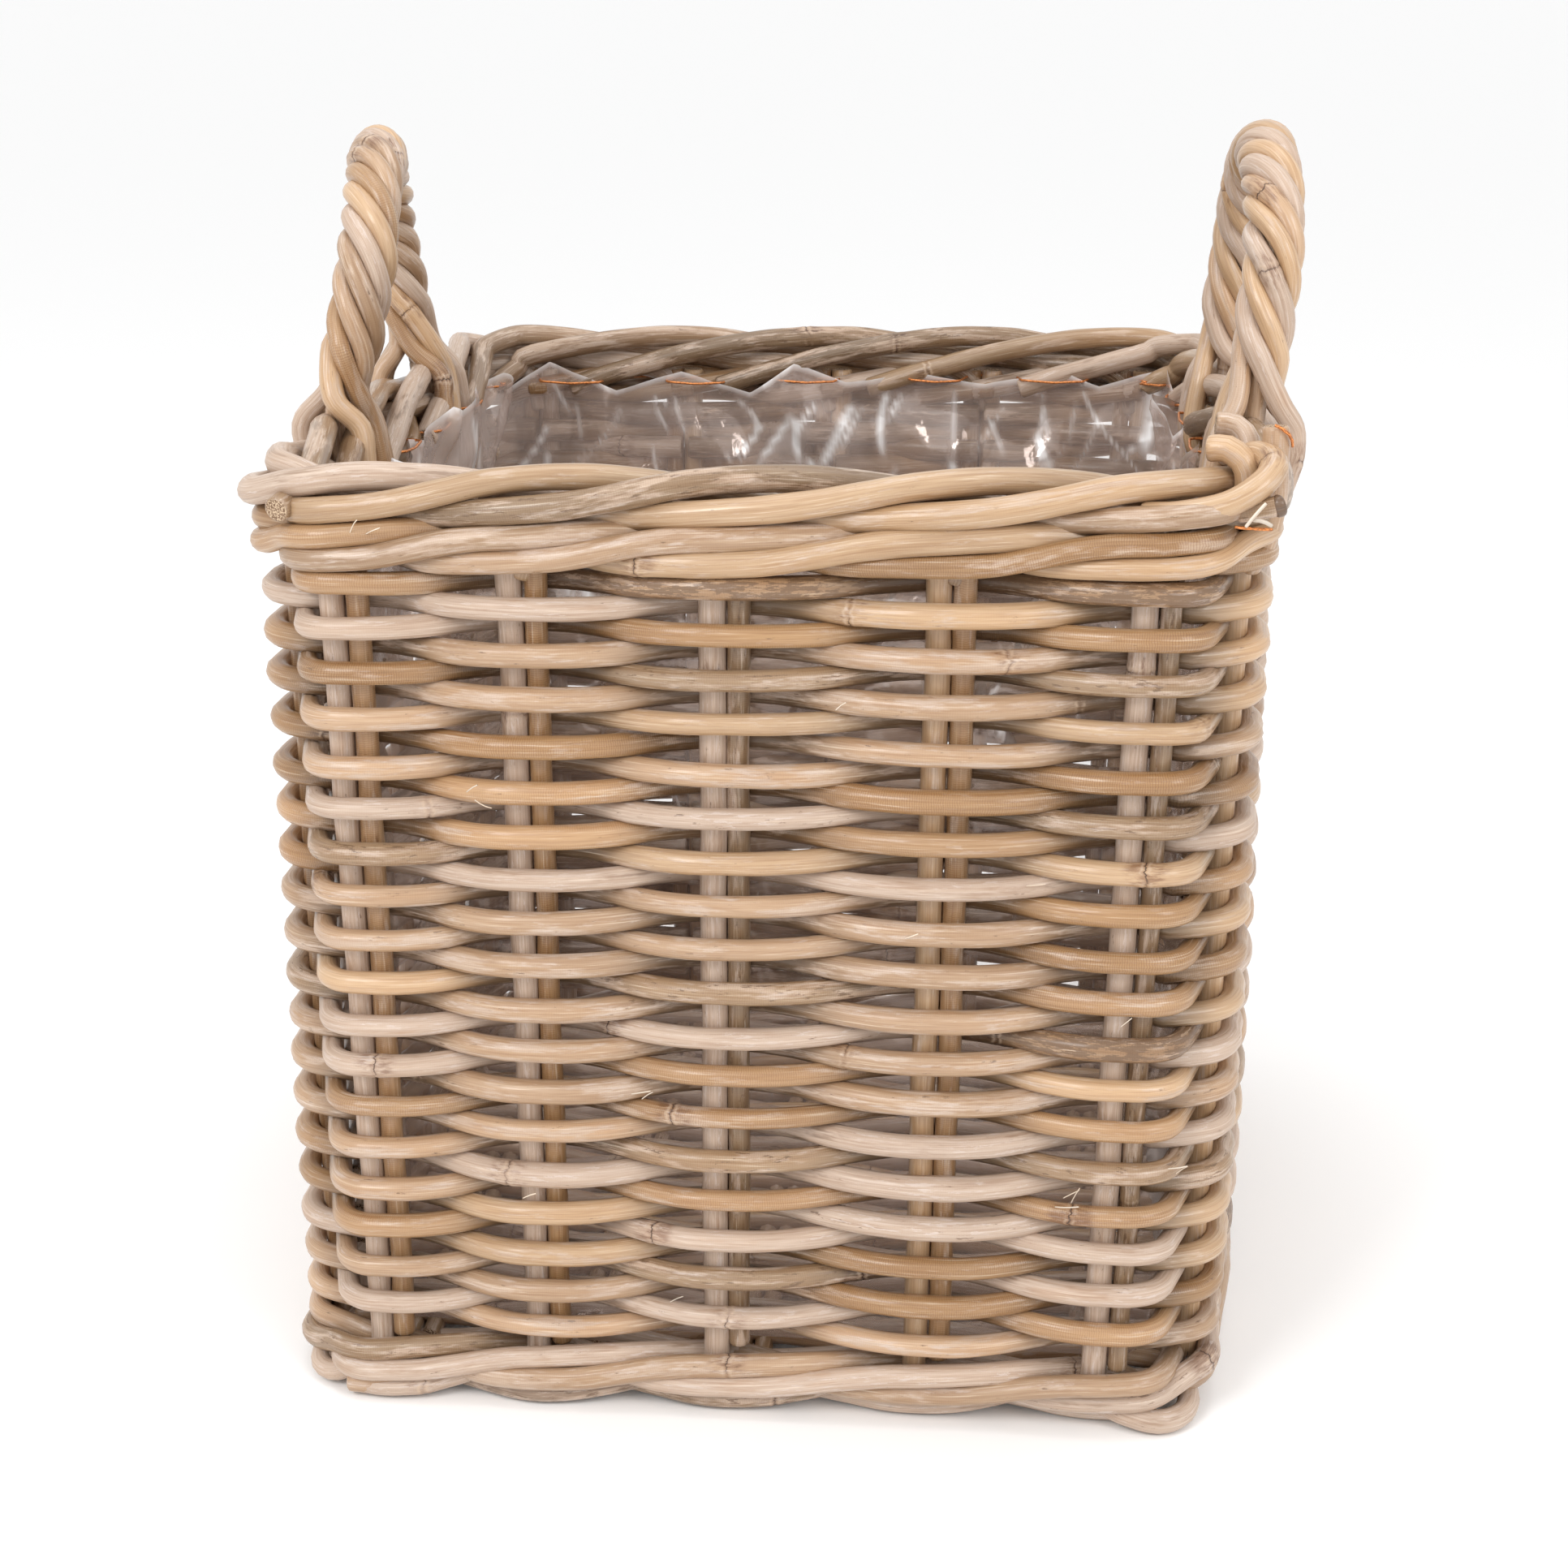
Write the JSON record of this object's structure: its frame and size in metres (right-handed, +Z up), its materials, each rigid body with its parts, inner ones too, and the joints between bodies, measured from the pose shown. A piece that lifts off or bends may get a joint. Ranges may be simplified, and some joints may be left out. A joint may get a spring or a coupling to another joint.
{
  "type": "wicker log basket",
  "caption": "Square lined wicker log basket with a woven rod wall on double stakes, a rolled border and two rope-wrapped bow handles.",
  "frame": {"origin": "middle of the face the basket stands on, under its foot border", "axes": "+Z up; +X from the left handle to the right handle; the front wall faces -Y"},
  "size_m": [0.4062, 0.3868, 0.4989],
  "materials": {
    "rattan_golden": "satin golden cane with its skin on",
    "rattan_buff": "satin pale buff cane",
    "rattan_grey": "grey-washed cane, matt to satin",
    "liner_film": "clear crinkled film, glossy",
    "copper_wire": "thin copper-coloured wire"
  },
  "bodies": {
    "root": {"front_stake_1": "rattan_buff", "front_bye_stake_1": "rattan_golden", "front_stake_2": "rattan_buff", "front_bye_stake_2": "rattan_golden", "front_stake_3": "rattan_buff", "front_bye_stake_3": "rattan_golden", "front_stake_4": "rattan_buff", "front_bye_stake_4": "rattan_golden", "front_stake_5": "rattan_buff", "front_bye_stake_5": "rattan_golden", "right_stake_1": "rattan_buff", "right_bye_stake_1": "rattan_golden", "right_stake_2": "rattan_buff", "right_bye_stake_2": "rattan_golden", "right_stake_3": "rattan_buff", "right_bye_stake_3": "rattan_golden", "right_stake_4": "rattan_buff", "right_bye_stake_4": "rattan_golden", "right_stake_5": "rattan_buff", "right_bye_stake_5": "rattan_golden", "back_stake_1": "rattan_buff", "back_bye_stake_1": "rattan_golden", "back_stake_2": "rattan_buff", "back_bye_stake_2": "rattan_golden", "back_stake_3": "rattan_buff", "back_bye_stake_3": "rattan_golden", "back_stake_4": "rattan_buff", "back_bye_stake_4": "rattan_golden", "back_stake_5": "rattan_buff", "back_bye_stake_5": "rattan_golden", "left_stake_1": "rattan_buff", "left_bye_stake_1": "rattan_golden", "left_stake_2": "rattan_buff", "left_bye_stake_2": "rattan_golden", "left_stake_3": "rattan_buff", "left_bye_stake_3": "rattan_golden", "left_stake_4": "rattan_buff", "left_bye_stake_4": "rattan_golden", "left_stake_5": "rattan_buff", "left_bye_stake_5": "rattan_golden", "weave_band_1": "rattan_golden", "weave_band_2": "rattan_grey", "weave_band_3": "rattan_buff", "weave_band_4": "rattan_golden", "weave_band_5": "rattan_grey", "weave_band_6": "rattan_buff", "weave_band_7": "rattan_golden", "weave_band_8": "rattan_grey", "weave_band_9": "rattan_buff", "foot_wale": "rattan_grey", "upper_wale": "rattan_grey", "foot_border": "rattan_buff", "top_border": "rattan_golden", "base_panel": "rattan_grey", "liner": "liner_film", "liner_stitching": "copper_wire", "handle_left_core": "rattan_buff", "handle_left_rope": "rattan_golden", "handle_right_core": "rattan_buff", "handle_right_rope": "rattan_golden"}
  },
  "joints": []
}
